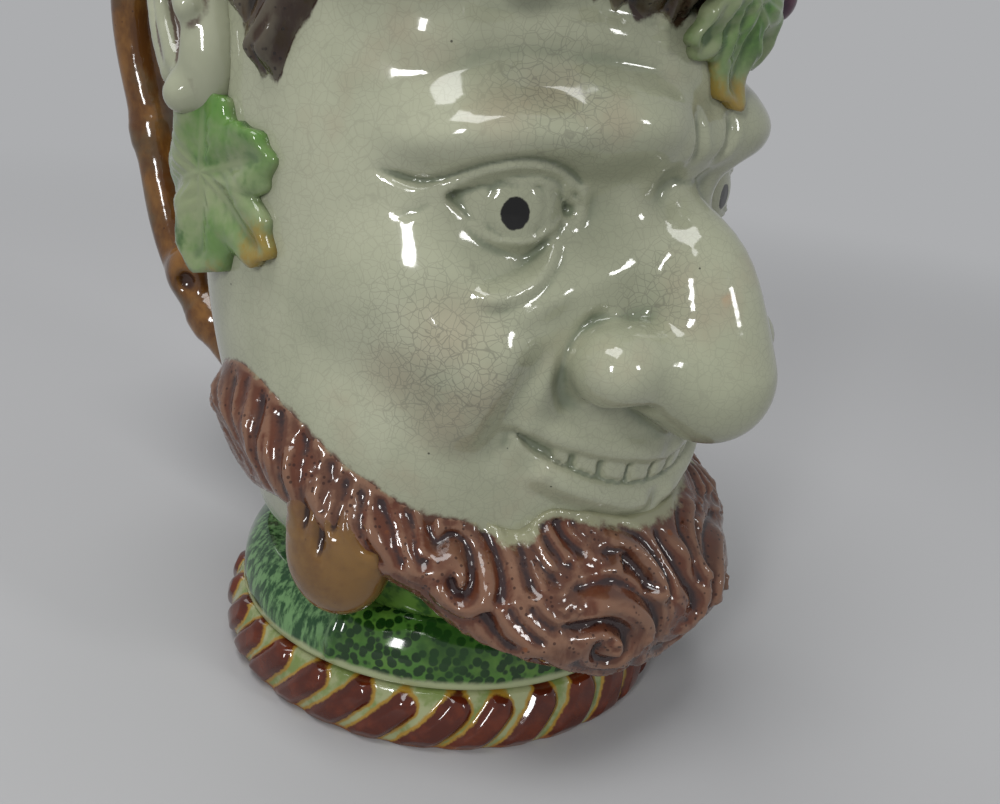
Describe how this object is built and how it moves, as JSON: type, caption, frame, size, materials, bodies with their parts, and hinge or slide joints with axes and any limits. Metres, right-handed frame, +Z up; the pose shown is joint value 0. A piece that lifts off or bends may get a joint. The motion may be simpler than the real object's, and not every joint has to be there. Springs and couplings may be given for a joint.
{
  "type": "figural mug",
  "caption": "Glazed earthenware drinking mug modelled as a bearded, vine-wreathed head on a round socle, with an open cup inside and a branch-shaped handle behind.",
  "frame": {"origin": "centre of the flat foot, on the plane that the mug stands on", "axes": "+Z up; the face looks along -Y and the handle stands out along +Y"},
  "size_m": [0.0899, 0.1458, 0.1266],
  "materials": {
    "pale_skin_glaze": "clear lead glaze over pale grey-green cream earthenware, crackled",
    "manganese_brown": "glossy manganese brown under clear glaze",
    "tan_slip": "thin tan brown under clear glaze",
    "leaf_green": "copper green running to ochre under clear glaze",
    "sponged_green": "dotted and brushed copper green under clear glaze",
    "chestnut_glaze": "glossy reddish brown pads on cream, edged in yellow",
    "ochre_brown": "ochre brown under clear glaze",
    "plum_glaze": "dark plum purple under clear glaze"
  },
  "bodies": {
    "root": {"foot_band": "chestnut_glaze", "socle": "sponged_green", "head_front": "pale_skin_glaze", "head_back": "pale_skin_glaze", "rim_lip": "pale_skin_glaze", "beard": "manganese_brown", "hair_front": "manganese_brown", "hair_back": "manganese_brown", "tan_lock_left": "tan_slip", "ear_left": "pale_skin_glaze", "vine_leaf_left_1": "leaf_green", "vine_leaf_left_2": "leaf_green", "vine_leaf_left_3": "leaf_green", "vine_leaf_left_4": "leaf_green", "vine_leaf_left_5": "leaf_green", "grapes_left_1": "plum_glaze", "grapes_left_2": "plum_glaze", "tan_lock_right": "tan_slip", "ear_right": "pale_skin_glaze", "vine_leaf_right_1": "leaf_green", "vine_leaf_right_2": "leaf_green", "vine_leaf_right_3": "leaf_green", "vine_leaf_right_4": "leaf_green", "vine_leaf_right_5": "leaf_green", "grapes_right_1": "plum_glaze", "grapes_right_2": "plum_glaze", "grapes_front": "plum_glaze", "handle": "ochre_brown", "handle_stub": "ochre_brown"}
  },
  "joints": []
}
